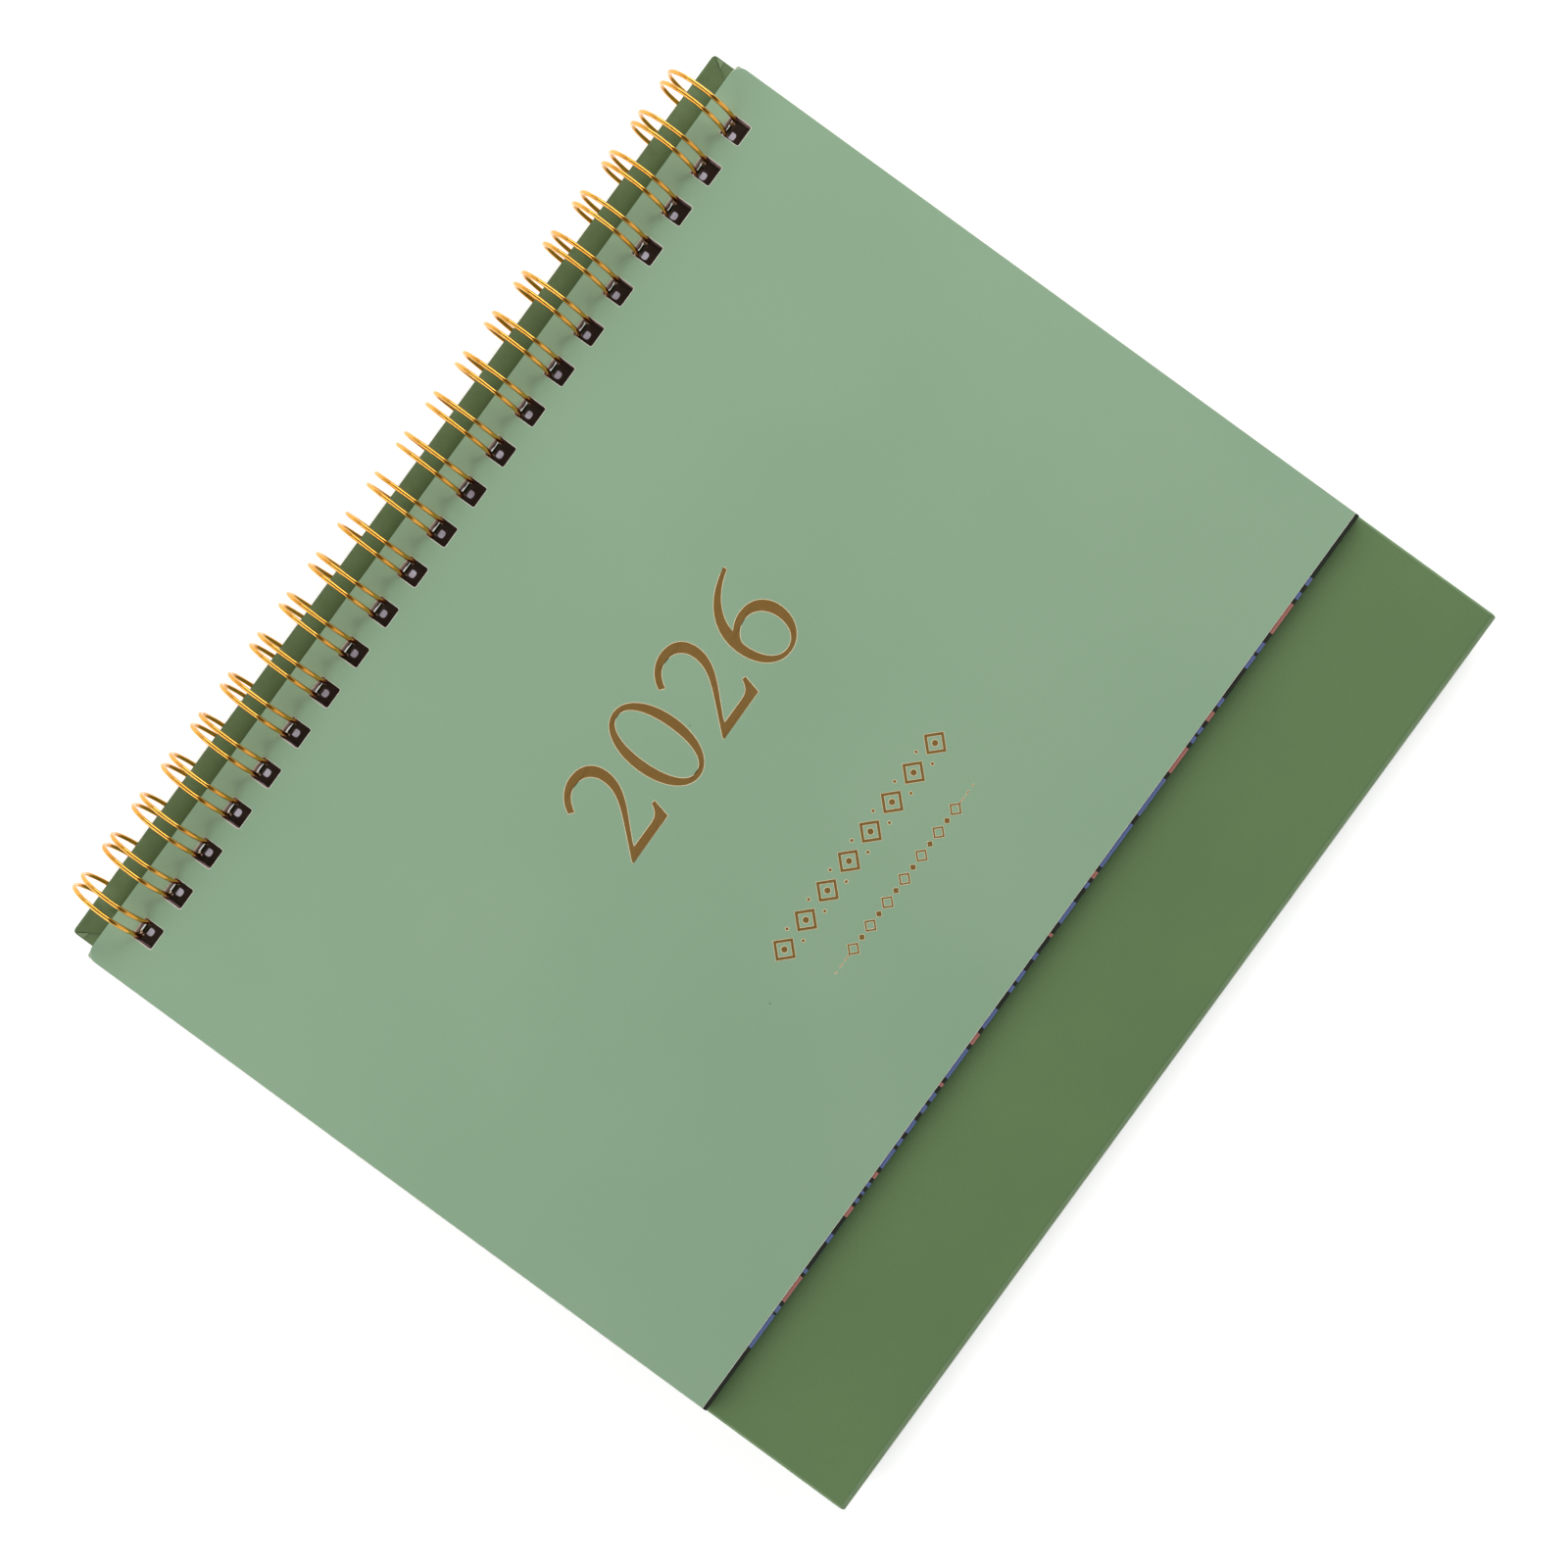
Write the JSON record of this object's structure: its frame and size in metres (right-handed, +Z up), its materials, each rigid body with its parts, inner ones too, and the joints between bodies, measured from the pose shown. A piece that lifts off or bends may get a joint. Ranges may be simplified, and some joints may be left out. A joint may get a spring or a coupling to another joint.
{
  "type": "desk calendar",
  "caption": "Landscape tent desk calendar lying folded flat, with a paper-wrapped board easel, folding base, cover, month sheets and a twin-loop wire binding.",
  "frame": {"origin": "centre of the bounding box's bottom face, on the table under the middle of the folded calendar", "axes": "+X along the binding, to the right for a reader; +Y in the plane of the table from the free edges to the binding; +Z up, out of the cover"},
  "size_m": [0.189, 0.1694, 0.0148],
  "materials": {
    "gold_wire": "bright gold-coloured coating on steel wire",
    "cover_laminate": "sage green print under satin laminate",
    "month_paper": "matt uncoated print paper",
    "green_wrap": "matt dyed covering paper, fine grain",
    "grey_board": "raw grey binder's board",
    "lining_paper": "matt pale lining paper"
  },
  "bodies": {
    "back_panel": {"binding_wire": "gold_wire", "back_panel_board": "grey_board", "back_panel_wrap": "green_wrap", "back_panel_liner": "lining_paper"},
    "front_panel": {"front_panel_board": "grey_board", "front_panel_wrap": "green_wrap", "front_panel_liner": "lining_paper"},
    "base_front": {"base_front_board": "grey_board", "base_front_wrap": "green_wrap", "base_front_liner": "lining_paper"},
    "base_back": {"base_back_board": "grey_board", "base_back_wrap": "green_wrap", "base_back_liner": "lining_paper"},
    "cover": {"cover_sheet": "cover_laminate"},
    "month_01": {"month_sheet_01": "month_paper"},
    "month_02": {"month_sheet_02": "month_paper"},
    "month_03": {"month_sheet_03": "month_paper"},
    "month_04": {"month_sheet_04": "month_paper"},
    "month_05": {"month_sheet_05": "month_paper"},
    "month_06": {"month_sheet_06": "month_paper"},
    "month_07": {"month_sheet_07": "month_paper"},
    "month_08": {"month_sheet_08": "month_paper"},
    "month_09": {"month_sheet_09": "month_paper"},
    "month_10": {"month_sheet_10": "month_paper"},
    "month_11": {"month_sheet_11": "month_paper"},
    "month_12": {"month_sheet_12": "month_paper"}
  },
  "joints": [
    {"name": "easel_open", "type": "hinge", "parent": "back_panel", "child": "front_panel", "pos_m": [0, 0.07734, 0.00742], "axis": [-1, 0, 0], "range_deg": [0, 24]},
    {"name": "base_front_fold", "type": "hinge", "parent": "front_panel", "child": "base_front", "pos_m": [0, -0.08466, 0.005], "axis": [-1, 0, 0], "range_deg": [0, 40]},
    {"name": "base_back_fold", "type": "hinge", "parent": "back_panel", "child": "base_back", "pos_m": [0, -0.07977, 0.00145], "axis": [1, 0, 0], "range_deg": [0, 40]},
    {"name": "cover_turn", "type": "hinge", "parent": "front_panel", "child": "cover", "pos_m": [0, 0.07734, 0.00742], "axis": [-1, 0, 0], "range_deg": [0, 180]},
    {"name": "month_turn_01", "type": "hinge", "parent": "front_panel", "child": "month_01", "pos_m": [0, 0.07734, 0.00742], "axis": [-1, 0, 0], "range_deg": [0, 180]},
    {"name": "month_turn_02", "type": "hinge", "parent": "front_panel", "child": "month_02", "pos_m": [0, 0.07734, 0.00742], "axis": [-1, 0, 0], "range_deg": [0, 180]},
    {"name": "month_turn_03", "type": "hinge", "parent": "front_panel", "child": "month_03", "pos_m": [0, 0.07734, 0.00742], "axis": [-1, 0, 0], "range_deg": [0, 180]},
    {"name": "month_turn_04", "type": "hinge", "parent": "front_panel", "child": "month_04", "pos_m": [0, 0.07734, 0.00742], "axis": [-1, 0, 0], "range_deg": [0, 180]},
    {"name": "month_turn_05", "type": "hinge", "parent": "front_panel", "child": "month_05", "pos_m": [0, 0.07734, 0.00742], "axis": [-1, 0, 0], "range_deg": [0, 180]},
    {"name": "month_turn_06", "type": "hinge", "parent": "front_panel", "child": "month_06", "pos_m": [0, 0.07734, 0.00742], "axis": [-1, 0, 0], "range_deg": [0, 180]},
    {"name": "month_turn_07", "type": "hinge", "parent": "front_panel", "child": "month_07", "pos_m": [0, 0.07734, 0.00742], "axis": [-1, 0, 0], "range_deg": [0, 180]},
    {"name": "month_turn_08", "type": "hinge", "parent": "front_panel", "child": "month_08", "pos_m": [0, 0.07734, 0.00742], "axis": [-1, 0, 0], "range_deg": [0, 180]},
    {"name": "month_turn_09", "type": "hinge", "parent": "front_panel", "child": "month_09", "pos_m": [0, 0.07734, 0.00742], "axis": [-1, 0, 0], "range_deg": [0, 180]},
    {"name": "month_turn_10", "type": "hinge", "parent": "front_panel", "child": "month_10", "pos_m": [0, 0.07734, 0.00742], "axis": [-1, 0, 0], "range_deg": [0, 180]},
    {"name": "month_turn_11", "type": "hinge", "parent": "front_panel", "child": "month_11", "pos_m": [0, 0.07734, 0.00742], "axis": [-1, 0, 0], "range_deg": [0, 180]},
    {"name": "month_turn_12", "type": "hinge", "parent": "front_panel", "child": "month_12", "pos_m": [0, 0.07734, 0.00742], "axis": [-1, 0, 0], "range_deg": [0, 180]}
  ],
  "couplings": [
    {"joint": "base_front_fold", "follows": "easel_open", "ratio": 1.6},
    {"joint": "base_back_fold", "follows": "easel_open", "ratio": 1.6},
    {"joint": "month_turn_01", "follows": "cover_turn", "ratio": 0.99},
    {"joint": "month_turn_02", "follows": "cover_turn", "ratio": 0.98},
    {"joint": "month_turn_03", "follows": "cover_turn", "ratio": 0.97},
    {"joint": "month_turn_04", "follows": "cover_turn", "ratio": 0.96},
    {"joint": "month_turn_05", "follows": "cover_turn", "ratio": 0.95},
    {"joint": "month_turn_06", "follows": "cover_turn", "ratio": 0.94},
    {"joint": "month_turn_07", "follows": "cover_turn", "ratio": 0.93},
    {"joint": "month_turn_08", "follows": "cover_turn", "ratio": 0.92},
    {"joint": "month_turn_09", "follows": "cover_turn", "ratio": 0.91},
    {"joint": "month_turn_10", "follows": "cover_turn", "ratio": 0.9},
    {"joint": "month_turn_11", "follows": "cover_turn", "ratio": 0.89},
    {"joint": "month_turn_12", "follows": "cover_turn", "ratio": 0.88}
  ]
}
